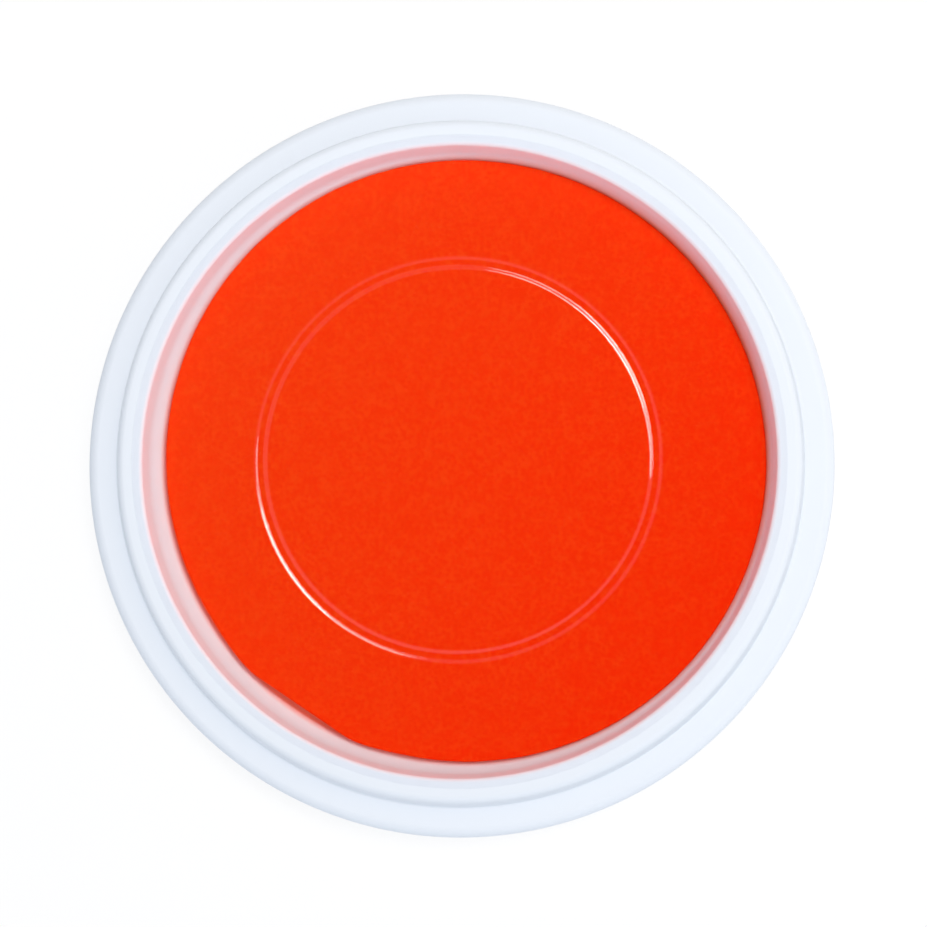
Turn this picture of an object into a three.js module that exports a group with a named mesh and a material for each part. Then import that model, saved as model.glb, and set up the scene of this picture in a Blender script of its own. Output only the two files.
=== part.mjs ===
// Round craft stamp pad: a shallow moulded tray, a die-cut disc of inked foam bonded to its floor,
// and a clear cap that lifts straight off. Millimetres, +Z up, origin on the table under the centre.
import * as THREE from "three";

// Driving dimensions of the foam and of how it sits in the tray.
const padDiameter = 121.2;
const padThickness = 2;
const padCrown = 0.35; // how much higher the foam is at its middle than at its shoulder
const padEdgeRadius = 0.5;
const padWaist = 0.1; // how far the die-cut side is drawn in at mid height
const padSideGap = 1.2; // from the foam to the foot of the tray's wall
const adhesiveThickness = 0.3;
const adhesiveMargin = 4; // the bonding disc stops this far inside the foam's edge
const recessDepth = 5.5; // from the foam's shoulder up to the tray's rim

// Driving dimensions of the tray.
const trayWall = 1.6;
const floorHeight = 3.9; // the floor's underside stands this far off the table
const wallFlare = THREE.MathUtils.degToRad(11); // lean of the wall from the floor up to the rim
const floorFillet = 2; // cove at the foot of the wall
const rimWidth = 3.2;
const rimRadius = 0.8;
const collarHeight = 5.9; // from the ledge up to the rim, the stretch that the cap goes over
const collarDraft = THREE.MathUtils.degToRad(9); // lean of the collar, and of the cap's riser over it
const slotWidth = 0.8; // the hollow inside the rim is open below, and this wide at its roof
const ledgeWidth = 5.85; // from the collar's foot out to the apron's outside
const ledgeRadius = 1;
const apronDraft = THREE.MathUtils.degToRad(1.5);
const sealBeadHeight = 0.25; // ring round the collar that rubs the cap's riser
const sealBeadWidth = 1.6;

// Driving dimensions of the cap.
const lidWall = 1.4;
const lidClearance = 0.3; // between the cap and the tray, everywhere except at the seal bead
const beadClearance = 0.1;
const plateauRadius = 1.1; // rounding of the plateau's outer edge
const brimRadius = 2.2; // rounding where the brim turns down
const skirtDepth = 1.7; // how far the skirt hangs below the brim's underside
const innerFillet = 0.5;
const grooveDiameter = 78.2; // pressed ring in the middle of the panel, to its centre line
const grooveWidth = 3.4; // at the panel's face
const grooveFloorWidth = 0.6;
const grooveDepth = 0.35;

// Facets, and the most of a straight run that the rounding of one of its ends may take.
const turnSegments = 64;
const arcSteps = 3;
const mostOfRun = 0.48;

// Heights, from the table up.
const floorTop = floorHeight + trayWall;
const padBottom = floorTop + adhesiveThickness;
const padShoulder = padBottom + padThickness;
const rimTop = padShoulder + recessDepth;
const ledgeTop = rimTop - collarHeight;
const brimBottom = ledgeTop + lidClearance;
const brimTop = brimBottom + lidWall;
const skirtBottom = brimBottom - skirtDepth;
const panelBottom = rimTop + lidClearance;
const panelTop = panelBottom + lidWall;

// Radii, from the foam out.
const padRadius = padDiameter / 2;
const floorRadius = padRadius + padSideGap;
const rimInnerRadius = flareRadiusAt(rimTop);
const collarRadius = rimInnerRadius + rimWidth;
const apronRadius = collarRadiusAt(ledgeTop) + ledgeWidth;
const footRadius = apronRadius - ledgeTop * Math.tan(apronDraft);
const skirtInnerRadius = apronRadius + lidClearance;
const skirtOuterRadius = skirtInnerRadius + lidWall;

// The inside of the flared wall at a height.
function flareRadiusAt(z) {
  return floorRadius + (z - floorTop) * Math.tan(wallFlare);
}

// The collar's outside at a height, without its bead.
function collarRadiusAt(z) {
  return collarRadius + (rimTop - z) * Math.tan(collarDraft);
}

// The inside of the cap's riser at a height.
function riserRadiusAt(z) {
  return collarRadiusAt(z) + sealBeadHeight + beadClearance;
}

// The outline through corners [radius, height, rounding], each rounded by a true arc.
// A corner's rounding is limited by the shorter of its two straight runs.
function roundedOutline(corners) {
  const outline = [];
  corners.forEach(([x, y, rounding = 0], i) => {
    const corner = new THREE.Vector2(x, y);
    if (!rounding) {
      outline.push(corner);
      return;
    }
    const before = new THREE.Vector2(...corners[(i + corners.length - 1) % corners.length].slice(0, 2));
    const after = new THREE.Vector2(...corners[(i + 1) % corners.length].slice(0, 2));
    const inward = before.clone().sub(corner);
    const outward = after.clone().sub(corner);
    const room = mostOfRun * Math.min(inward.length(), outward.length());
    inward.normalize();
    outward.normalize();
    const half = Math.acos(THREE.MathUtils.clamp(inward.dot(outward), -1, 1)) / 2;
    const setback = Math.min(rounding / Math.tan(half), room);
    const start = corner.clone().addScaledVector(inward, setback);
    const end = corner.clone().addScaledVector(outward, setback);
    const radius = setback * Math.tan(half);
    const centre = corner
      .clone()
      .addScaledVector(inward.clone().add(outward).normalize(), radius / Math.sin(half));
    const from = start.clone().sub(centre).angle();
    let sweep = end.clone().sub(centre).angle() - from;
    if (sweep > Math.PI) sweep -= 2 * Math.PI;
    if (sweep < -Math.PI) sweep += 2 * Math.PI;
    for (let step = 0; step <= arcSteps; step++) {
      const angle = from + (sweep * step) / arcSteps;
      outline.push(new THREE.Vector2(radius, 0).rotateAround(new THREE.Vector2(), angle).add(centre));
    }
  });
  return outline;
}

// A solid of revolution about +Z. The outline runs from the axis underneath to the axis on top.
function turned(outline) {
  return new THREE.LatheGeometry(outline, turnSegments).rotateX(Math.PI / 2);
}

function part(name, geometry, material) {
  const mesh = new THREE.Mesh(geometry, material);
  mesh.name = name;
  return mesh;
}

// The four corners of the pressed ring, a shallow channel in the panel's face z, from the middle out.
function grooveCorners(z) {
  const middle = grooveDiameter / 2;
  return [
    [middle - grooveWidth / 2, z],
    [middle - grooveFloorWidth / 2, z - grooveDepth],
    [middle + grooveFloorWidth / 2, z - grooveDepth],
    [middle + grooveWidth / 2, z],
  ];
}

// The tray, one wall thick all through: a flat floor for the foam, a flare up to the rim, a collar with its
// seal bead, and a ledge that turns down into the apron. The hollow between flare and collar is open below.
function trayOutline() {
  const flareWall = trayWall / Math.cos(wallFlare); // the leaning walls, measured level
  const collarWall = trayWall / Math.cos(collarDraft);
  const ledgeBottom = ledgeTop - trayWall;
  const beadMiddle = (ledgeTop + rimTop) / 2;
  const beadFoot = beadMiddle - sealBeadWidth / 2;
  const beadHead = beadMiddle + sealBeadWidth / 2;
  const rimHollow = rimWidth - flareWall - collarWall; // between the two walls, at the rim's own height
  const spread = Math.tan(wallFlare) + Math.tan(collarDraft); // and how fast it widens downwards
  const roof = rimTop - Math.max(trayWall, (slotWidth - rimHollow) / spread);
  return roundedOutline([
    [0, floorHeight],
    [flareRadiusAt(floorHeight) + flareWall, floorHeight, floorFillet + trayWall],
    [flareRadiusAt(roof) + flareWall, roof],
    [collarRadiusAt(roof) - collarWall, roof],
    [collarRadiusAt(ledgeBottom) - collarWall, ledgeBottom, innerFillet],
    [apronRadius - trayWall, ledgeBottom, innerFillet],
    [footRadius - trayWall, 0],
    [footRadius, 0, innerFillet],
    [apronRadius, ledgeTop, ledgeRadius],
    [collarRadiusAt(ledgeTop), ledgeTop, innerFillet],
    [collarRadiusAt(beadFoot), beadFoot],
    [collarRadiusAt(beadMiddle) + sealBeadHeight, beadMiddle],
    [collarRadiusAt(beadHead), beadHead],
    [collarRadius, rimTop, rimRadius],
    [rimInnerRadius, rimTop, rimRadius],
    [floorRadius, floorTop, floorFillet],
    [0, floorTop],
  ]);
}

// The cap: a panel with its pressed ring, a riser round the collar, a brim over the ledge and a skirt.
function lidOutline() {
  const riserWall = lidWall / Math.cos(collarDraft); // the leaning riser, measured level
  return roundedOutline([
    [0, panelBottom],
    ...grooveCorners(panelBottom),
    [riserRadiusAt(panelBottom), panelBottom, innerFillet],
    [riserRadiusAt(brimBottom), brimBottom, innerFillet],
    [skirtInnerRadius, brimBottom, innerFillet],
    [skirtInnerRadius, skirtBottom, innerFillet],
    [skirtOuterRadius, skirtBottom, innerFillet],
    [skirtOuterRadius, brimTop, brimRadius],
    [riserRadiusAt(brimTop) + riserWall, brimTop, innerFillet],
    [riserRadiusAt(panelTop) + riserWall, panelTop, plateauRadius],
    ...grooveCorners(panelTop).reverse(),
    [0, panelTop],
  ]);
}

// The foam: flat underneath, drawn in at its waist by the cutting die, with a soft shoulder and a low crown.
function foamOutline() {
  const side = new THREE.QuadraticBezierCurve(
    new THREE.Vector2(padRadius, padBottom),
    new THREE.Vector2(padRadius - 2 * padWaist, padBottom + padThickness / 2),
    new THREE.Vector2(padRadius, padShoulder - padEdgeRadius),
  ).getPoints(arcSteps + 1);
  const shoulder = new THREE.EllipseCurve(
    padRadius - padEdgeRadius,
    padShoulder - padEdgeRadius,
    padEdgeRadius,
    padEdgeRadius,
    0,
    Math.PI / 2,
  ).getPoints(arcSteps);
  const crown = new THREE.QuadraticBezierCurve(
    new THREE.Vector2(padRadius - padEdgeRadius, padShoulder),
    new THREE.Vector2(padRadius / 2, padShoulder + padCrown),
    new THREE.Vector2(0, padShoulder + padCrown),
  ).getPoints(arcSteps);
  return [new THREE.Vector2(0, padBottom), ...side, ...shoulder.slice(1), ...crown.slice(1)];
}

// The bonding disc between the tray's floor and the foam.
function adhesiveOutline() {
  const radius = padRadius - adhesiveMargin;
  return roundedOutline([
    [0, floorTop],
    [radius, floorTop],
    [radius, padBottom],
    [0, padBottom],
  ]);
}

const milkyPlastic = new THREE.MeshStandardMaterial({ color: "#e9eef4", roughness: 0.35, metalness: 0 });
const clearPlastic = new THREE.MeshStandardMaterial({
  color: "#edf5fb",
  roughness: 0.08,
  metalness: 0,
  transparent: true,
  opacity: 0.3,
});
const inkedFoam = new THREE.MeshStandardMaterial({ color: "#f73608", roughness: 0.85, metalness: 0 });
const bondingFilm = new THREE.MeshStandardMaterial({ color: "#f3efe2", roughness: 0.5, metalness: 0 });

const stampPad = new THREE.Group();
stampPad.add(
  part("base_tray", turned(trayOutline()), milkyPlastic),
  part("pad_adhesive", turned(adhesiveOutline()), bondingFilm),
  part("ink_foam", turned(foamOutline()), inkedFoam),
  part("lid", turned(lidOutline()), clearPlastic),
);

export default stampPad;
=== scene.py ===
import math

import bmesh
import bpy
from mathutils import Matrix, Vector, noise


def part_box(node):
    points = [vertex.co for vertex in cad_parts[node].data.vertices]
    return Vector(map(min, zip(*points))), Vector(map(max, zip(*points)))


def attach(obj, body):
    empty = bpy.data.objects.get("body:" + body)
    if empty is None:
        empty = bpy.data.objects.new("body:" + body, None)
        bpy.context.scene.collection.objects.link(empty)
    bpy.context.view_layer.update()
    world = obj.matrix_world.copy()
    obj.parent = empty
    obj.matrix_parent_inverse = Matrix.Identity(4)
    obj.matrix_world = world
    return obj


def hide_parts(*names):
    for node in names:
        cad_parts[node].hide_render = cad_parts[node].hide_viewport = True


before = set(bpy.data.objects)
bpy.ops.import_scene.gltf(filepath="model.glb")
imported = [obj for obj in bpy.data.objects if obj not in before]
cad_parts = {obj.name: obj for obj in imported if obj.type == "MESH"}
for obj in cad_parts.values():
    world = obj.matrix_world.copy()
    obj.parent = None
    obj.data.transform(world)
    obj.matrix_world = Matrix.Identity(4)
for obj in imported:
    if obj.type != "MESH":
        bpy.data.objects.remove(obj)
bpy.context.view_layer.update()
mm = 0.001  # sizes below are in millimetres, Blender works in metres


# helpers for shapes

def roundedOutline(corners, steps):
    # corners are (radius, height, rounding); each rounding becomes a true arc between the two straight runs
    outline = []
    for i, (radius, height, rounding) in enumerate(corners):
        corner = Vector((radius, height))
        if rounding == 0:
            outline.append(corner)
            continue
        toBefore = (Vector(corners[i - 1][:2]) - corner).normalized()
        toAfter = (Vector(corners[i + 1][:2]) - corner).normalized()
        half = toBefore.angle(toAfter) / 2
        setback = rounding / math.tan(half)
        centre = corner + (toBefore + toAfter).normalized() * rounding / math.sin(half)
        start = corner + toBefore * setback - centre
        sweep = start.angle_signed(corner + toAfter * setback - centre)
        for step in range(steps + 1):
            outline.append(centre + Matrix.Rotation(-sweep * step / steps, 2) @ start)
    return outline


def turnedPiece(name, outline, turns):
    # revolves (radius, height) points about Z; the first point is on the axis underneath, the last on top
    mesh = bmesh.new()
    rings = []
    for radius, height in outline:
        count = turns if radius > 0 else 1
        angles = [2 * math.pi * turn / turns for turn in range(count)]
        rings.append([mesh.verts.new((radius * math.cos(a) * mm, radius * math.sin(a) * mm, height * mm))
                      for a in angles])
    for lower, upper in zip(rings, rings[1:]):
        for turn in range(turns):
            after = turn + 1
            around = [lower[turn % len(lower)], lower[after % len(lower)],
                      upper[after % len(upper)], upper[turn % len(upper)]]
            mesh.faces.new(dict.fromkeys(around))  # the fans on the axis have three corners
    data = bpy.data.meshes.new(name)
    mesh.to_mesh(data)
    mesh.free()
    data.shade_smooth()
    piece = bpy.data.objects.new(name, data)
    bpy.context.collection.objects.link(piece)
    return piece


def keepFlatsFlat(piece):
    # large faces rule the shading of their corners, so that flats stay flat and only the fillets bend light
    weighted = piece.modifiers.new("flatsRuleNormals", "WEIGHTED_NORMAL")
    weighted.weight = 100


# helpers for materials

def linear(hexColour):
    # sRGB hex to Blender's linear RGBA
    channels = [int(hexColour[i:i + 2], 16) / 255 for i in (1, 3, 5)]
    return [c / 12.92 if c <= 0.04045 else ((c + 0.055) / 1.055) ** 2.4 for c in channels] + [1]


def addNode(tree, kind, inputs, **settings):
    # one node: settings are its own options, inputs are plain values or sockets to link from
    node = tree.nodes.new(kind)
    for option, value in settings.items():
        setattr(node, option, value)
    for socket, value in inputs.items():
        if isinstance(value, bpy.types.NodeSocket):
            tree.links.new(value, node.inputs[socket])
        else:
            node.inputs[socket].default_value = value
    return node


def emptyTree(owner):
    owner.use_nodes = True
    owner.node_tree.nodes.clear()
    return owner.node_tree


def perMetre(size):
    # texture scale that repeats a pattern once per size in millimetres
    return 1 / (size * mm)


# camera: looks almost straight down, from a little to the right and nearer the viewer

cameraSet = {
    "place": (32.7, -53.9, 603.6),
    "pictureWidth": 186.2,  # what the square picture spans at the aim's distance
    "aim": (0.79, -0.37, 7.4),  # what lies in the picture's middle
    "sensor": 36,
}


def makeCamera():
    place, aim = Vector(cameraSet["place"]), Vector(cameraSet["aim"])
    back = (place - aim).normalized()
    right = Vector((0, 1, 0)).cross(back).normalized()  # +Y points to the top of the picture
    data = bpy.data.cameras.new("photoCamera")
    data.sensor_width = cameraSet["sensor"]
    data.lens = cameraSet["sensor"] * (place - aim).length / cameraSet["pictureWidth"]
    camera = bpy.data.objects.new("photoCamera", data)
    camera.location = place * mm
    camera.rotation_euler = Matrix((right, back.cross(right), back)).transposed().to_euler()
    bpy.context.collection.objects.link(camera)
    bpy.context.scene.camera = camera


makeCamera()
print("camera set")


# sizes that the frame gives, in millimetres

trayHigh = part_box("base_tray")[1] / mm
foamLow, foamHigh = (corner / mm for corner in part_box("ink_foam"))
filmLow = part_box("pad_adhesive")[0] / mm
capLow, capHigh = (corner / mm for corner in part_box("lid"))
turns = 256  # facets round the tray and the cap


# foam disc: a die-cut slab of ink foam, crowned, a little oval and snipped straight at one place

foamSet = {
    "crown": 0.35,  # how much higher its middle is than its shoulder
    "undercut": 0.15,  # it shrank a little after the die cut it
    "oval": 0.34,  # and it was stretched this far out of round
    "ovalSide": 122,  # degrees from +X, the way it was stretched
    "edgeRadius": 0.5,
    "waist": 0.08,  # how far the die drew the side in at mid height
    "footInset": 2.4,  # and at its foot, where the tray's cove pushed it in
    "laidOff": Vector((1.04, 0.65, 0)),  # it was glued down this far off the tray's middle
    "topRings": 90,
    "sideSteps": 12,
    "edgeSteps": 8,
    "turns": 480,
    "swell": 0.05,  # long, low unevenness of the sliced face, and the length of one swell
    "swellLength": 9,
    "ragged": 0.05,  # unevenness of the die-cut edge
    "raggedLength": 3,
    "edgeFade": 8,  # power by which what happens at the edge dies away towards the middle
    "snipSide": 236,  # degrees from +X
    "snipDepth": 0.8,  # how far inside the round edge the straight snip lies
    "snipSlope": 84,  # degrees, how steeply the snipped face falls
    "earBulge": 0.4,  # the shears pushed the edge out beside the snip, this far
    "earAngle": 13.5,  # degrees to either side of the snip's middle, and how wide the bulge is
    "earWidth": 5,
}


def foamOutline():
    radius = foamHigh.x - foamSet["undercut"]
    shoulder = foamHigh.z - foamSet["crown"]
    edge = foamSet["edgeRadius"]
    outline = [Vector((0, foamLow.z))]
    for step in range(foamSet["sideSteps"] + 1):
        t = step / foamSet["sideSteps"]
        pulled = foamSet["waist"] * math.sin(math.pi * t) + foamSet["footInset"] * (1 - t)
        outline.append(Vector((radius - pulled, foamLow.z + t * (shoulder - edge - foamLow.z))))
    for step in range(1, foamSet["edgeSteps"] + 1):
        a = math.pi / 2 * step / foamSet["edgeSteps"]
        outline.append(Vector((radius - edge + edge * math.cos(a), shoulder - edge + edge * math.sin(a))))
    for ring in range(1, foamSet["topRings"] + 1):
        t = 1 - ring / foamSet["topRings"]
        outline.append(Vector((t * (radius - edge), shoulder + foamSet["crown"] * (1 - t * t))))
    return outline


def makeFoam():
    foam = turnedPiece("inkFoamDisc", foamOutline(), foamSet["turns"])
    side = math.radians(foamSet["snipSide"])
    snipWay = Vector((math.cos(side), math.sin(side), 0))
    longWay = math.radians(foamSet["ovalSide"])
    ovalAtSnip = foamSet["oval"] * math.cos(2 * (side - longWay))
    snipAt = (foamHigh.x - foamSet["undercut"] + ovalAtSnip - foamSet["snipDepth"]) * mm
    fall = math.tan(math.radians(foamSet["snipSlope"]))
    shoulder = (foamHigh.z - foamSet["crown"]) * mm
    earAngle, earWidth = math.radians(foamSet["earAngle"]), math.radians(foamSet["earWidth"])
    for vertex in foam.data.vertices:
        place = vertex.co.copy()
        height = (place.z - foamLow.z * mm) / (foamHigh.z - foamLow.z) / mm
        radius = place.to_2d().length
        level = Vector((place.x, place.y, 0))
        if radius > 0:
            edgeShare = (radius / mm / foamHigh.x) ** foamSet["edgeFade"]
            wobble = noise.noise(place / (foamSet["raggedLength"] * mm))
            beside = (level.angle(snipWay) - earAngle) / earWidth
            pushed = foamSet["ragged"] * wobble + foamSet["earBulge"] * math.exp(-beside * beside)
            vertex.co += level.normalized() * pushed * edgeShare * mm
            stretch = foamSet["oval"] / foamHigh.x * math.cos(2 * (math.atan2(place.y, place.x) - longWay))
            vertex.co += level * stretch
        swell = noise.noise(level / (foamSet["swellLength"] * mm))
        vertex.co.z += foamSet["swell"] * swell * height * mm
        past = vertex.co.dot(snipWay) - snipAt - max(0, shoulder - vertex.co.z) / fall
        if past > 0:
            vertex.co -= past * snipWay
        vertex.co += foamSet["laidOff"] * mm
    return foam


foamFinish = {
    "ink": "#ff4611",
    "inkDeep": "#fa2803",  # where a cell holds more ink
    "paintedLightSide": 150,  # degrees from +X, the side where painted light makes the ink lighter
    "paintedLightShare": 0.5,  # how much that painted light counts, against the cells
    "glow": (1, 0.15, 0.05),  # how far each colour seeps, as shares of seep
    "seep": 1,
    "seepShare": 0.5,  # share of the light that goes inside
    "cell": 0.75,  # real cells are about 0.3 mm, drawn coarser so that they show
    "blotch": 2.2,
    "grainRange": (0.08, 0.36),  # what of cells times blotches is spread from deep ink to thin ink
    "bump": 0.12,
    "bumpStrength": 0.5,
    "roughness": 0.9,
    "ior": 1.45,
}


def inkedFoamSliced():
    # open-cell polyurethane foam, sliced and soaked with ink: dead matt, faintly grainy, no shine at all,
    # with painted light making one side lighter
    material = bpy.data.materials.new("inkedPolyurethaneFoamSliced")
    tree = emptyTree(material)
    place = addNode(tree, "ShaderNodeTexCoord", {}).outputs["Object"]
    cells = addNode(tree, "ShaderNodeTexVoronoi",
                    {"Vector": place, "Scale": perMetre(foamFinish["cell"]), "Randomness": 1.0},
                    feature="SMOOTH_F1")
    blotches = addNode(tree, "ShaderNodeTexNoise",
                       {"Vector": place, "Scale": perMetre(foamFinish["blotch"]), "Detail": 4.0})
    patchy = addNode(tree, "ShaderNodeMath",
                     {0: cells.outputs["Distance"], 1: blotches.outputs["Fac"]}, operation="MULTIPLY")
    deepEnd, thinEnd = foamFinish["grainRange"]
    grain = addNode(tree, "ShaderNodeMapRange",
                    {"Value": patchy.outputs["Value"], "From Min": deepEnd, "From Max": thinEnd})
    # painted light: the ink is drawn lighter towards one side, as if more light fell there
    side = math.radians(foamFinish["paintedLightSide"])
    across = addNode(tree, "ShaderNodeVectorMath",
                     {0: place, 1: (math.cos(side), math.sin(side), 0)}, operation="DOT_PRODUCT")
    paintedLight = addNode(tree, "ShaderNodeMapRange",
                    {"Value": across.outputs["Value"],
                     "From Min": foamLow.x * mm, "From Max": foamHigh.x * mm})
    grainAndPaintedLight = addNode(tree, "ShaderNodeMix",
                    {"Factor": foamFinish["paintedLightShare"],
                     "A": grain.outputs["Result"], "B": paintedLight.outputs["Result"]})
    ink = addNode(tree, "ShaderNodeMix",
                  {"Factor": grainAndPaintedLight.outputs["Result"], "A": linear(foamFinish["inkDeep"]),
                   "B": linear(foamFinish["ink"])}, data_type="RGBA")
    pores = addNode(tree, "ShaderNodeBump",
                    {"Height": cells.outputs["Distance"], "Strength": foamFinish["bumpStrength"],
                     "Distance": foamFinish["bump"] * mm})
    shader = addNode(tree, "ShaderNodeBsdfPrincipled",
                     {"Base Color": ink.outputs["Result"], "Roughness": foamFinish["roughness"],
                      "IOR": foamFinish["ior"], "Specular IOR Level": 0.0,
                      "Subsurface Weight": foamFinish["seepShare"],
                      "Subsurface Radius": foamFinish["glow"],
                      "Subsurface Scale": foamFinish["seep"] * mm,
                      "Normal": pores.outputs["Normal"]})
    addNode(tree, "ShaderNodeOutputMaterial", {"Surface": shader.outputs["BSDF"]})
    return material


foam = makeFoam()
foam.data.materials.append(inkedFoamSliced())
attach(foam, "base")
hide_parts("ink_foam")
print("foam disc made,", len(foam.data.vertices), "points")


# tray: one milky moulding with a flat floor, a flare up to the rim, a collar, a ledge and an apron

traySet = {
    "wall": 1.6,
    "floorHeight": 3.9,
    "sideGap": 1.2,  # from the foam, if it were laid true, to the foot of the wall
    "flareLean": 11,  # degrees, as the other leans
    "collarLean": 9,
    "apronLean": 1.5,
    "floorFillet": 5,  # cove at the foot of the wall
    "rimWidth": 3.2,
    "rimRadius": 0.8,
    "collarHeight": 5.9,
    "slotRoof": 2.41,  # from the rim down to the roof of the hollow inside it
    "ledgeRadius": 1,
    "beadHeight": 0.25,
    "beadWidth": 1.6,
    "fillet": 0.4,  # rounding of the other corners
    "crisp": 0.15,  # and of those that the mould left sharp
    "arcSteps": 8,
}


def leanOf(name):
    return math.tan(math.radians(traySet[name]))


floorTop = filmLow.z
floorRadius = foamHigh.x + traySet["sideGap"]
rimTop = trayHigh.z
rimInner = floorRadius + (rimTop - floorTop) * leanOf("flareLean")
collarTop = rimInner + traySet["rimWidth"]
ledgeTop = rimTop - traySet["collarHeight"]
apronRadius = trayHigh.x


def collarAt(height):
    return collarTop + (rimTop - height) * leanOf("collarLean")


def trayOutline():
    wall, fillet, crisp = traySet["wall"], traySet["fillet"], traySet["crisp"]
    floorBottom = traySet["floorHeight"]
    flareWall = wall / math.cos(math.radians(traySet["flareLean"]))
    collarWall = wall / math.cos(math.radians(traySet["collarLean"]))
    roof = rimTop - traySet["slotRoof"]
    flareAtRoof = rimInner - traySet["slotRoof"] * leanOf("flareLean")
    ledgeBottom = ledgeTop - wall
    footRadius = apronRadius - ledgeTop * leanOf("apronLean")
    beadMiddle = (ledgeTop + rimTop) / 2
    beadFoot, beadHead = beadMiddle - traySet["beadWidth"] / 2, beadMiddle + traySet["beadWidth"] / 2
    return roundedOutline([
        (0, floorBottom, 0),
        (floorRadius + flareWall - wall * leanOf("flareLean"), floorBottom, traySet["floorFillet"] + wall),
        (flareAtRoof + flareWall, roof, crisp),
        (collarAt(roof) - collarWall, roof, crisp),
        (collarAt(ledgeBottom) - collarWall, ledgeBottom, fillet),
        (apronRadius - wall, ledgeBottom, fillet),
        (footRadius - wall, 0, crisp),
        (footRadius, 0, fillet),
        (apronRadius, ledgeTop, traySet["ledgeRadius"]),
        (collarAt(ledgeTop), ledgeTop, fillet),
        (collarAt(beadFoot), beadFoot, fillet),
        (collarAt(beadMiddle) + traySet["beadHeight"], beadMiddle, fillet),
        (collarAt(beadHead), beadHead, fillet),
        (collarTop, rimTop, traySet["rimRadius"]),
        (rimInner, rimTop, traySet["rimRadius"]),
        (floorRadius, floorTop, traySet["floorFillet"]),
        (0, floorTop, 0),
    ], traySet["arcSteps"])


trayFinish = {
    "body": "#e9ecf3",
    "thin": "#edf0f5",  # slightly clearer where the melt ran thinner
    "flow": 30,
    "grit": 0.6,  # real spark erosion is about 0.05 mm, drawn coarser so that it shows
    "gritDepth": 0.01,
    "gritStrength": 0.25,
    "satin": (0.4, 0.5),  # roughness, from body to thin
    "ior": 1.49,
    "gloss": 0.4,
    "scatter": 2,  # how far light seeps inside it
    "scatterShare": 0.5,  # share of the light that does
    "inked": "#ffebec",  # the floor and wall round the foam: a trace of its ink, and painted pink light bounced off the red foam
    "inkAndBounceFade": 0.7,  # over this width the trace and its painted bounce light fade out at the rim
    "bleedAndPaintedBounce": "#fd8266",  # next to the foam's edge: ink bled out of it, and painted red light bounced off it into the gap
    "bleedAndBounceWidth": 1.2,  # over this width it thins out to the trace
}


def inkAndBounceReach(tree, place):
    # 1 on the floor and on the inside of the flared wall, 0 from the rim outwards and underneath: where the
    # ink trace and the painted bounce light go
    lean = leanOf("flareLean")
    wallLine = (floorRadius - floorTop * lean) * mm  # where the inside of the wall would meet the table
    split = addNode(tree, "ShaderNodeSeparateXYZ", {"Vector": place})
    level = addNode(tree, "ShaderNodeVectorMath", {0: place, 1: (1, 1, 0)}, operation="MULTIPLY")
    radius = addNode(tree, "ShaderNodeVectorMath", {0: level.outputs["Vector"]}, operation="LENGTH")
    upright = addNode(tree, "ShaderNodeMath",
                      {0: split.outputs["Z"], 1: -lean, 2: radius.outputs["Value"]},
                      operation="MULTIPLY_ADD")
    inside = addNode(tree, "ShaderNodeMapRange",
                     {"Value": upright.outputs["Value"], "From Min": wallLine,
                      "From Max": wallLine + trayFinish["inkAndBounceFade"] * mm, "To Min": 1.0, "To Max": 0.0})
    above = addNode(tree, "ShaderNodeMath",
                    {0: split.outputs["Z"], 1: (floorTop - traySet["wall"] / 2) * mm},
                    operation="GREATER_THAN")
    return addNode(tree, "ShaderNodeMath",
                   {0: inside.outputs["Result"], 1: above.outputs["Value"]}, operation="MULTIPLY")


def bleedAndBounceReach(tree, place):
    # 1 under the foam, 0 from the bleed width outside its edge: where the ink bleed and its painted bounce
    # light go
    foamRadius = foamHigh.x - foamSet["undercut"]
    level = addNode(tree, "ShaderNodeVectorMath", {0: place, 1: (1, 1, 0)}, operation="MULTIPLY")
    reach = addNode(tree, "ShaderNodeVectorMath",
                    {0: level.outputs["Vector"], 1: foamSet["laidOff"] * mm}, operation="DISTANCE")
    return addNode(tree, "ShaderNodeMapRange",
                   {"Value": reach.outputs["Value"], "From Min": foamRadius * mm,
                    "From Max": (foamRadius + trayFinish["bleedAndBounceWidth"]) * mm, "To Min": 1.0, "To Max": 0.0})


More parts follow.
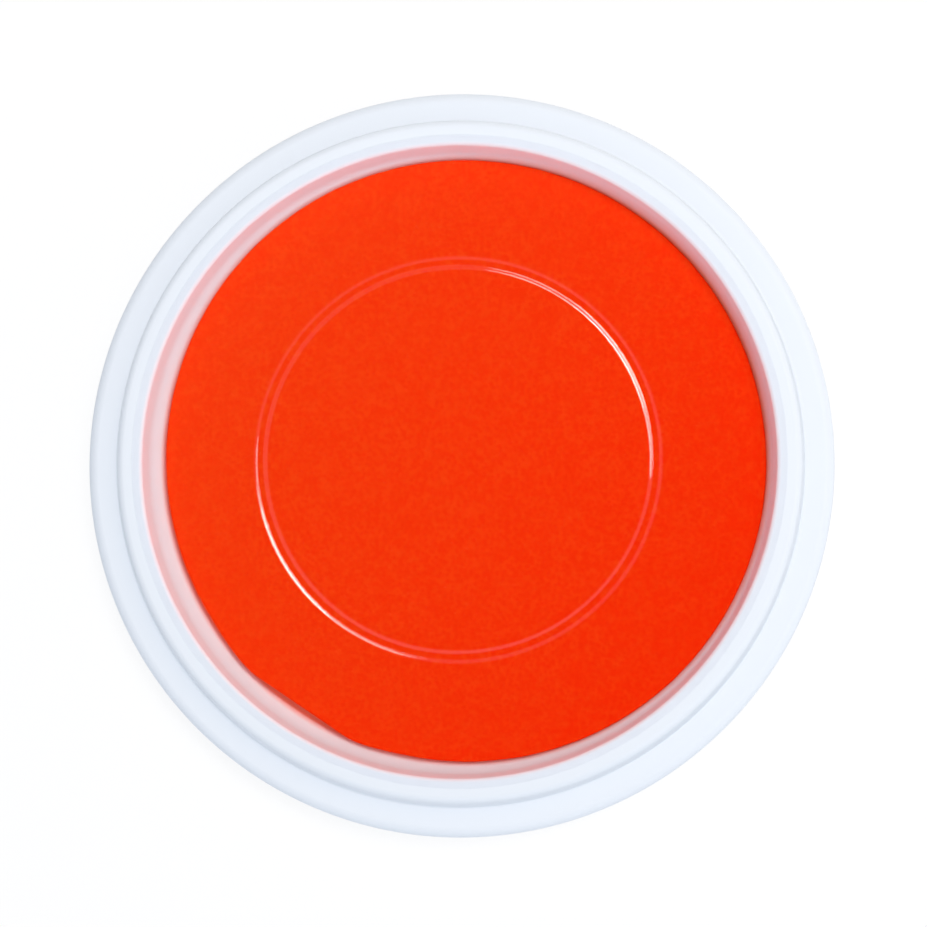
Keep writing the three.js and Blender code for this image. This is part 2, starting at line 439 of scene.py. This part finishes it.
def milkyPolypropyleneMoulded():
    # natural polypropylene, injection moulded: milky, cool white, satin, with light inside its walls; round
    # the foam it is tinted by a trace of ink and by painted bounce light from the foam
    material = bpy.data.materials.new("milkyPolypropyleneMoulded")
    tree = emptyTree(material)
    place = addNode(tree, "ShaderNodeTexCoord", {}).outputs["Object"]
    flow = addNode(tree, "ShaderNodeTexNoise",
                   {"Vector": place, "Scale": perMetre(trayFinish["flow"]),
                    "Detail": 2.0, "Distortion": 0.6})
    grit = addNode(tree, "ShaderNodeTexNoise",
                   {"Vector": place, "Scale": perMetre(trayFinish["grit"]), "Detail": 2.0})
    colour = addNode(tree, "ShaderNodeMix",
                     {"Factor": flow.outputs["Fac"], "A": linear(trayFinish["body"]),
                      "B": linear(trayFinish["thin"])}, data_type="RGBA")
    # painted bounce light: pink on the floor and wall round the foam, red next to its edge, on top of a
    # trace of ink
    inked = addNode(tree, "ShaderNodeMix",
                    {"Factor": bleedAndBounceReach(tree, place).outputs["Result"], "A": linear(trayFinish["inked"]),
                     "B": linear(trayFinish["bleedAndPaintedBounce"])}, data_type="RGBA")
    tinted = addNode(tree, "ShaderNodeMix",
                     {"Factor": inkAndBounceReach(tree, place).outputs["Value"], "A": colour.outputs["Result"],
                      "B": inked.outputs["Result"]}, data_type="RGBA")
    smooth, rough = trayFinish["satin"]
    satin = addNode(tree, "ShaderNodeMapRange",
                    {"Value": flow.outputs["Fac"], "To Min": smooth, "To Max": rough})
    skin = addNode(tree, "ShaderNodeBump",
                   {"Height": grit.outputs["Fac"], "Strength": trayFinish["gritStrength"],
                    "Distance": trayFinish["gritDepth"] * mm})
    shader = addNode(tree, "ShaderNodeBsdfPrincipled",
                     {"Base Color": tinted.outputs["Result"], "Roughness": satin.outputs["Result"],
                      "IOR": trayFinish["ior"], "Specular IOR Level": trayFinish["gloss"],
                      "Subsurface Weight": trayFinish["scatterShare"], "Subsurface Radius": (1, 1, 1),
                      "Subsurface Scale": trayFinish["scatter"] * mm, "Normal": skin.outputs["Normal"]})
    addNode(tree, "ShaderNodeOutputMaterial", {"Surface": shader.outputs["BSDF"]})
    return material


tray = turnedPiece("milkyTray", trayOutline(), turns)
keepFlatsFlat(tray)
tray.data.materials.append(milkyPolypropyleneMoulded())
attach(tray, "base")
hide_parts("base_tray")
print("tray made,", len(tray.data.vertices), "points")


# cap: one clear moulding with a pressed ring, a riser round the collar, a brim and a short skirt

capSet = {
    "wall": 1.4,
    "clearance": 0.3,  # to the tray, everywhere except at the seal bead
    "beadClearance": 0.1,
    "plateauRadius": 1.5,
    "brimRadius": 2.2,
    "fillet": 0.5,
    "windowInset": 2.8,  # the polished window ends this far inside the plateau's outer edge
    "ringDiameter": 78.7,  # to the middle of the pressed ring
    "ringWidth": 3.2,
    "ringFlank": 1.2,  # width of each of its two sloping sides
    "ringDepth": 0.225,
    "ringSteps": 10,
    "arcSteps": 10,
}


def pressedRing(height):
    # a shallow channel in the panel's face, from the rim side to the middle, with softly curved flanks
    middle, half, flank = capSet["ringDiameter"] / 2, capSet["ringWidth"] / 2, capSet["ringFlank"]
    steps = capSet["ringSteps"]
    outer, inner = [], []
    for step in range(steps + 1):
        dip = capSet["ringDepth"] * (1 - math.cos(math.pi * step / steps)) / 2
        reach = half - flank * step / steps
        outer.append((middle + reach, height - dip, 0))
        inner.append((middle - reach, height - dip, 0))
    return outer + inner[::-1]


def windowRadius():
    plateauEdge = collarAt(capHigh.z) + traySet["beadHeight"] + capSet["beadClearance"] + capSet["wall"]
    return plateauEdge - capSet["windowInset"]


def capOutline():
    wall, fillet = capSet["wall"], capSet["fillet"]
    lean = leanOf("collarLean")
    panelTop, skirtBottom = capHigh.z, capLow.z
    panelBottom = panelTop - wall
    brimBottom = ledgeTop + capSet["clearance"]
    brimTop = brimBottom + wall
    skirtOuter = capHigh.x
    skirtInner = apronRadius + capSet["clearance"]
    riserInset = traySet["beadHeight"] + capSet["beadClearance"]
    riserWall = wall / math.cos(math.radians(traySet["collarLean"]))
    return roundedOutline([
        (0, panelBottom, 0),
        *reversed(pressedRing(panelBottom)),
        (windowRadius(), panelBottom, 0),
        (collarAt(panelBottom) + riserInset, panelBottom, fillet),
        (collarAt(brimBottom) + riserInset, brimBottom, fillet),
        (skirtInner, brimBottom, fillet),
        (skirtInner, skirtBottom, fillet),
        (skirtOuter, skirtBottom, fillet),
        (skirtOuter, brimTop, capSet["brimRadius"]),
        (collarAt(brimTop) + riserInset + riserWall, brimTop, fillet),
        (collarAt(panelTop) + riserInset + riserWall, panelTop, capSet["plateauRadius"]),
        (windowRadius(), panelTop, 0),
        *pressedRing(panelTop),
        (0, panelTop, 0),
    ], capSet["arcSteps"])


capFinish = {
    "tint": "#fdfeff",
    "haze": 25,
    "polish": (0.015, 0.03),  # roughness of the window
    "ior": 1.59,
    "frostTint": "#e2e7ed",
    "frostGrit": 0.5,  # real spark erosion is about 0.05 mm, drawn coarser so that it shows
    "frostDepth": 0.01,
    "frostStrength": 0.2,
    "frostSatin": (0.5, 0.6),  # roughness of the frosted brim
    "frostGloss": 0.3,
    "frostClear": 0.06,  # share of the light that goes on through the frosted brim
    "frostLamp": "#f9fafb",  # what of a lamp's light reaches the tray through one face of it
    "turnsInside": 2.5,  # light that was turned more often than this inside the cap leaves it
}


def lampRaysPass(tree, surface, tint):
    # lamps shine straight through the cap, so that what is under it is lit without noise,
    # and light that is caught between its faces gets out before it has died away
    rays = addNode(tree, "ShaderNodeLightPath", {})
    lampRays = addNode(tree, "ShaderNodeMath",
                       {0: rays.outputs["Is Shadow Ray"], 1: rays.outputs["Is Diffuse Ray"]},
                       operation="MAXIMUM")
    caught = addNode(tree, "ShaderNodeMath",
                     {0: rays.outputs["Ray Depth"], 1: capFinish["turnsInside"]},
                     operation="GREATER_THAN")
    passing = addNode(tree, "ShaderNodeMath",
                      {0: lampRays.outputs["Value"], 1: caught.outputs["Value"]}, operation="MAXIMUM")
    through = addNode(tree, "ShaderNodeBsdfTransparent", {"Color": linear(tint)})
    passed = addNode(tree, "ShaderNodeMixShader",
                     {"Fac": passing.outputs["Value"],
                      1: surface.outputs["BSDF"], 2: through.outputs["BSDF"]})
    addNode(tree, "ShaderNodeOutputMaterial", {"Surface": passed.outputs["Shader"]})


def clearPolystyrenePolished():
    # general-purpose polystyrene, moulded against polished steel: clear, glossy, with sharp glints
    material = bpy.data.materials.new("clearPolystyrenePolished")
    tree = emptyTree(material)
    place = addNode(tree, "ShaderNodeTexCoord", {}).outputs["Object"]
    haze = addNode(tree, "ShaderNodeTexNoise",
                   {"Vector": place, "Scale": perMetre(capFinish["haze"]), "Detail": 5.0})
    smooth, rough = capFinish["polish"]
    polish = addNode(tree, "ShaderNodeMapRange",
                     {"Value": haze.outputs["Fac"], "To Min": smooth, "To Max": rough})
    shader = addNode(tree, "ShaderNodeBsdfPrincipled",
                     {"Base Color": linear(capFinish["tint"]), "Roughness": polish.outputs["Result"],
                      "IOR": capFinish["ior"], "Transmission Weight": 1.0})
    lampRaysPass(tree, shader, capFinish["tint"])
    return material


def clearPolystyreneFrosted():
    # the same polystyrene, moulded against spark-eroded steel: frosted, whitish, with a soft sheen
    material = bpy.data.materials.new("clearPolystyreneFrosted")
    tree = emptyTree(material)
    place = addNode(tree, "ShaderNodeTexCoord", {}).outputs["Object"]
    grit = addNode(tree, "ShaderNodeTexNoise",
                   {"Vector": place, "Scale": perMetre(capFinish["frostGrit"]), "Detail": 3.0})
    smooth, rough = capFinish["frostSatin"]
    satin = addNode(tree, "ShaderNodeMapRange",
                    {"Value": grit.outputs["Fac"], "To Min": smooth, "To Max": rough})
    skin = addNode(tree, "ShaderNodeBump",
                   {"Height": grit.outputs["Fac"], "Strength": capFinish["frostStrength"],
                    "Distance": capFinish["frostDepth"] * mm})
    shader = addNode(tree, "ShaderNodeBsdfPrincipled",
                     {"Base Color": linear(capFinish["frostTint"]), "Roughness": satin.outputs["Result"],
                      "IOR": capFinish["ior"], "Specular IOR Level": capFinish["frostGloss"],
                      "Transmission Weight": capFinish["frostClear"], "Normal": skin.outputs["Normal"]})
    lampRaysPass(tree, shader, capFinish["frostLamp"])
    return material


def frostOutside(piece):
    # the window keeps the first material, everything round it takes the second
    for face in piece.data.polygons:
        if face.center.to_2d().length > windowRadius() * mm:
            face.material_index = 1


cap = turnedPiece("clearCap", capOutline(), turns)
keepFlatsFlat(cap)
cap.data.materials.append(clearPolystyrenePolished())
cap.data.materials.append(clearPolystyreneFrosted())
frostOutside(cap)
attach(cap, "lid")
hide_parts("lid")
print("cap made,", len(cap.data.vertices), "points")


# bonding film under the foam: the CAD disc keeps its shape and only gets its finish

filmFinish = {
    "glue": "#efe9d8",
    "tissue": "#f8f5ea",
    "fibre": 2.5,
    "fibreDepth": 0.05,
    "fibreStrength": 0.3,
    "roughness": 0.55,
    "ior": 1.47,
}


def acrylicBondingTissue():
    # double-sided acrylic film on a tissue carrier: creamy, dull, with a faint web of fibres
    material = bpy.data.materials.new("acrylicBondingTissue")
    tree = emptyTree(material)
    place = addNode(tree, "ShaderNodeTexCoord", {}).outputs["Object"]
    fibres = addNode(tree, "ShaderNodeTexNoise",
                     {"Vector": place, "Scale": perMetre(filmFinish["fibre"]),
                      "Detail": 6.0, "Distortion": 2.0})
    colour = addNode(tree, "ShaderNodeMix",
                     {"Factor": fibres.outputs["Fac"], "A": linear(filmFinish["glue"]),
                      "B": linear(filmFinish["tissue"])}, data_type="RGBA")
    web = addNode(tree, "ShaderNodeBump",
                  {"Height": fibres.outputs["Fac"], "Strength": filmFinish["fibreStrength"],
                   "Distance": filmFinish["fibreDepth"] * mm})
    shader = addNode(tree, "ShaderNodeBsdfPrincipled",
                     {"Base Color": colour.outputs["Result"], "Roughness": filmFinish["roughness"],
                      "IOR": filmFinish["ior"], "Normal": web.outputs["Normal"]})
    addNode(tree, "ShaderNodeOutputMaterial", {"Surface": shader.outputs["BSDF"]})
    return material


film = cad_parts["pad_adhesive"]
film.data.materials.clear()
film.data.materials.append(acrylicBondingTissue())
print("bonding film finished")


# floor: plain white, kept white for the eye but still holding the pad's shadow

floorSet = {
    "width": 6000,
    "colour": "#f4f4f4",
    "whiteShare": 0.8,  # how much of its white is steady, the rest takes the shadow
}


def makeFloor():
    half = floorSet["width"] / 2 * mm
    data = bpy.data.meshes.new("floor")
    corners = [(-half, -half, 0), (half, -half, 0), (half, half, 0), (-half, half, 0)]
    data.from_pydata(corners, [], [(0, 1, 2, 3)])
    floor = bpy.data.objects.new("floor", data)
    bpy.context.collection.objects.link(floor)
    material = bpy.data.materials.new("whiteStudioPaper")
    tree = emptyTree(material)
    rays = addNode(tree, "ShaderNodeLightPath", {})
    seen = addNode(tree, "ShaderNodeMath",
                   {0: rays.outputs["Is Camera Ray"], 1: rays.outputs["Is Glossy Ray"]},
                   operation="MAXIMUM")
    shown = addNode(tree, "ShaderNodeMath",
                    {0: seen.outputs["Value"], 1: rays.outputs["Is Transmission Ray"]},
                    operation="MAXIMUM")
    share = addNode(tree, "ShaderNodeMath",
                    {0: shown.outputs["Value"], 1: floorSet["whiteShare"]}, operation="MULTIPLY")
    paper = addNode(tree, "ShaderNodeBsdfDiffuse", {"Color": linear(floorSet["colour"])})
    white = addNode(tree, "ShaderNodeEmission", {"Strength": 1.0})
    mixed = addNode(tree, "ShaderNodeMixShader",
                    {"Fac": share.outputs["Value"],
                     1: paper.outputs["BSDF"], 2: white.outputs["Emission"]})
    addNode(tree, "ShaderNodeOutputMaterial", {"Surface": mixed.outputs["Shader"]})
    data.materials.append(material)
    return floor


makeFloor()
print("floor laid")


# light: a softbox high on the upper right, pale studio walls, and a ceiling that lights the pad
# but isn't mirrored in the cap

lightSet = {
    "softboxSide": 45,  # degrees from +X
    "softboxHeight": 61,  # degrees above the floor
    "softboxDistance": 1000,
    "glowDistance": 980,  # in front of the softbox, since lamps at one distance hide each other in mirrors
    "softboxSize": (880, 280),  # width and height
    "softboxPower": 3.3,
    "glowSize": (320, 280),  # the bright middle of the softbox's cloth
    "glowPower": 1.6,
    "lampColour": "#fff6ec",
    "wallColour": "#f0f6ff",
    "wallStrength": 0.675,
    "wallMirrored": 0.5,  # share of the walls' light that the cap mirrors
    "brightSide": 284,  # degrees from +X, where the walls are brightest
    "sideShare": 0.58,  # by how much they are, against the mean
    "wallsEndAt": 64,  # degrees above the floor
    "ceilingStartsAt": 83,  # the cap mirrors nothing from here up
    "ceilingBoost": 1.3,  # by how much the ceiling lights the pad more than the walls do
    "boostStartsAt": 56,  # degrees above the floor
    "boostFullAt": 78,
}


def makeLamp(name, distance, size, power):
    side, height = math.radians(lightSet["softboxSide"]), math.radians(lightSet["softboxHeight"])
    away = Vector((math.cos(height) * math.cos(side), math.cos(height) * math.sin(side), math.sin(height)))
    data = bpy.data.lights.new(name, "AREA")
    data.shape = "ELLIPSE"
    data.size, data.size_y = (length * mm for length in size)
    data.energy = power
    data.color = linear(lightSet["lampColour"])[:3]
    lamp = bpy.data.objects.new(name, data)
    lamp.location = away * distance * mm
    lamp.rotation_euler = away.to_track_quat("Z", "Y").to_euler()
    bpy.context.collection.objects.link(lamp)


def makeStudio():
    world = bpy.data.worlds.new("studioWalls")
    world.cycles.sampling_method = "NONE"  # so that each ray meets the walls as its own kind
    bpy.context.scene.world = world
    tree = emptyTree(world)
    way = addNode(tree, "ShaderNodeTexCoord", {}).outputs["Generated"]
    split = addNode(tree, "ShaderNodeSeparateXYZ", {"Vector": way})
    rays = addNode(tree, "ShaderNodeLightPath", {})
    mirrored = addNode(tree, "ShaderNodeMapRange",
                       {"Value": split.outputs["Z"],
                        "From Min": math.sin(math.radians(lightSet["wallsEndAt"])),
                        "From Max": math.sin(math.radians(lightSet["ceilingStartsAt"])),
                        "To Min": lightSet["wallMirrored"], "To Max": 0.0},
                       interpolation_type="SMOOTHSTEP")
    boosted = addNode(tree, "ShaderNodeMapRange",
                      {"Value": split.outputs["Z"],
                       "From Min": math.sin(math.radians(lightSet["boostStartsAt"])),
                       "From Max": math.sin(math.radians(lightSet["boostFullAt"])),
                       "To Min": 1.0, "To Max": 1 + lightSet["ceilingBoost"]},
                      interpolation_type="SMOOTHSTEP")
    lighting = addNode(tree, "ShaderNodeMath",
                       {0: boosted.outputs["Result"], 1: rays.outputs["Is Diffuse Ray"]},
                       operation="MULTIPLY")
    share = addNode(tree, "ShaderNodeMath",
                    {0: mirrored.outputs["Result"], 1: lighting.outputs["Value"]}, operation="MAXIMUM")
    strength = addNode(tree, "ShaderNodeMath",
                       {0: share.outputs["Value"], 1: lightSet["wallStrength"]}, operation="MULTIPLY")
    side = math.radians(lightSet["brightSide"])
    towards = addNode(tree, "ShaderNodeVectorMath",
                      {0: way, 1: (math.cos(side), math.sin(side), 0)}, operation="DOT_PRODUCT")
    lean = addNode(tree, "ShaderNodeMath",
                   {0: towards.outputs["Value"], 1: lightSet["sideShare"], 2: 1.0},
                   operation="MULTIPLY_ADD")
    tilted = addNode(tree, "ShaderNodeMath",
                     {0: strength.outputs["Value"], 1: lean.outputs["Value"]}, operation="MULTIPLY")
    walls = addNode(tree, "ShaderNodeBackground",
                    {"Color": linear(lightSet["wallColour"]), "Strength": tilted.outputs["Value"]})
    white = addNode(tree, "ShaderNodeBackground", {"Strength": 1.0})
    seen = addNode(tree, "ShaderNodeMixShader",
                   {"Fac": rays.outputs["Is Camera Ray"], 1: walls.outputs["Background"],
                    2: white.outputs["Background"]})
    addNode(tree, "ShaderNodeOutputWorld", {"Surface": seen.outputs["Shader"]})


for part in ("softbox", "glow"):
    makeLamp(part, lightSet[part + "Distance"], lightSet[part + "Size"], lightSet[part + "Power"])
makeStudio()
bpy.context.scene.view_settings.view_transform = "Standard"
print("light set")
